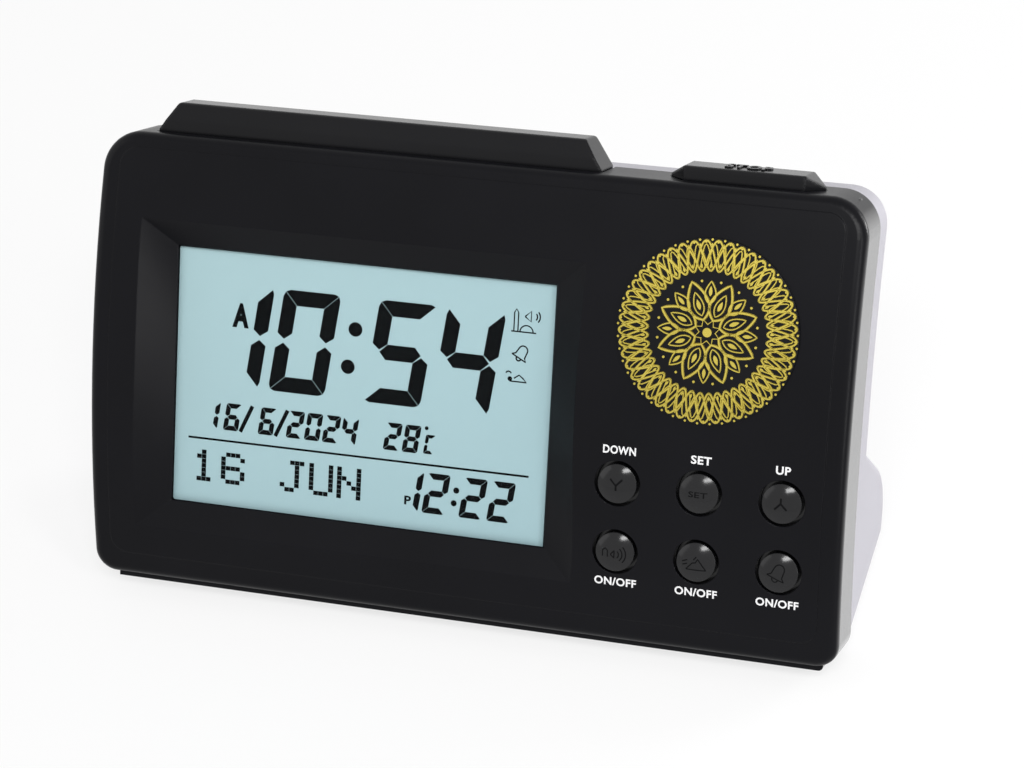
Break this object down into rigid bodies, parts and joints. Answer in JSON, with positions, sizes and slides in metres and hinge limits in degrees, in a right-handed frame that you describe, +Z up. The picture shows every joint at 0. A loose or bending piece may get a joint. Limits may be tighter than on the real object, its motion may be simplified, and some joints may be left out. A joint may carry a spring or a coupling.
{
  "type": "digital prayer alarm clock",
  "caption": "Desk clock with a curved leaning face, a bevelled digital display, round push keys, a round medallion, a long top bar, a stop button and a battery bulge behind.",
  "frame": {"origin": "middle of the footprint of the whole clock, at the height of the table it stands on", "axes": "+X to the right seen from the front, +Y away from the viewer, +Z up; the face looks towards -Y and leans back by 28 degrees"},
  "size_m": [0.15, 0.0592, 0.0863],
  "materials": {
    "black_plastic": "fine satin texture on the face",
    "silver_plastic": "silver-grey moulded plastic",
    "clear_plastic": "clear window",
    "lcd": "pale blue-green liquid crystal cell with dark segments",
    "white_plastic": "white moulded plastic",
    "led_white": "white lamp bodies",
    "grey_rubber": "layered contact rubber",
    "circuit_board": "green solder resist",
    "black_resin": "moulded black resin",
    "tin_steel": "bright plated steel",
    "key_plastic": "glossy black domed caps with lighter marks",
    "dark_plastic": "glossy black with a grey sheen on top",
    "gold_plate": "gold ring and rosette on black",
    "paper_cone": "black paper",
    "cell_wrap": "plain printed sleeve without wording",
    "foot_rubber": "black rubber pads"
  },
  "bodies": {
    "case": {"front_housing": "black_plastic", "rear_shell": "silver_plastic", "display_window": "clear_plastic", "lcd_glass": "lcd", "lcd_frame": "white_plastic", "light_guide": "white_plastic", "backlight_leds": "led_white", "contact_strip": "grey_rubber", "display_board": "circuit_board", "key_board": "circuit_board", "top_board": "circuit_board", "chip_cover": "black_resin", "crystal_can": "tin_steel", "capacitor": "black_resin", "key_switches": "black_resin", "top_switches": "black_resin", "medallion": "gold_plate", "speaker_basket": "tin_steel", "speaker_cone": "paper_cone", "battery_tray": "silver_plastic", "battery_cells": "cell_wrap", "battery_contacts": "tin_steel", "case_screws": "tin_steel", "board_screws": "tin_steel", "top_board_screws": "tin_steel", "rubber_feet": "foot_rubber"},
    "down_key": {"down_button": "key_plastic"},
    "set_key": {"set_button": "key_plastic"},
    "up_key": {"up_button": "key_plastic"},
    "sound_key": {"sound_button": "key_plastic"},
    "snooze_key": {"snooze_button": "key_plastic"},
    "alarm_key": {"alarm_button": "key_plastic"},
    "top_bar": {"light_bar": "dark_plastic"},
    "stop_key": {"stop_button": "dark_plastic"},
    "cover": {"battery_door": "silver_plastic"}
  },
  "joints": [
    {"name": "down_push", "type": "slide", "parent": "case", "child": "down_key", "axis": [0, 0.8829, -0.4695], "range_m": [0, 0.0006], "stiffness_N_per_m": 1500},
    {"name": "set_push", "type": "slide", "parent": "case", "child": "set_key", "axis": [0, 0.8829, -0.4695], "range_m": [0, 0.0006], "stiffness_N_per_m": 1500},
    {"name": "up_push", "type": "slide", "parent": "case", "child": "up_key", "axis": [0, 0.8829, -0.4695], "range_m": [0, 0.0006], "stiffness_N_per_m": 1500},
    {"name": "sound_push", "type": "slide", "parent": "case", "child": "sound_key", "axis": [0, 0.8829, -0.4695], "range_m": [0, 0.0006], "stiffness_N_per_m": 1500},
    {"name": "snooze_push", "type": "slide", "parent": "case", "child": "snooze_key", "axis": [0, 0.8829, -0.4695], "range_m": [0, 0.0006], "stiffness_N_per_m": 1500},
    {"name": "alarm_push", "type": "slide", "parent": "case", "child": "alarm_key", "axis": [0, 0.8829, -0.4695], "range_m": [0, 0.0006], "stiffness_N_per_m": 1500},
    {"name": "bar_push", "type": "slide", "parent": "case", "child": "top_bar", "axis": [0, -0.4695, -0.8829], "range_m": [0, 0.0008], "stiffness_N_per_m": 1500},
    {"name": "stop_push", "type": "slide", "parent": "case", "child": "stop_key", "axis": [0, -0.4695, -0.8829], "range_m": [0, 0.0008], "stiffness_N_per_m": 1500},
    {"name": "door_slide", "type": "slide", "parent": "case", "child": "cover", "axis": [0, 1, 0], "range_m": [0, 0.03]}
  ]
}
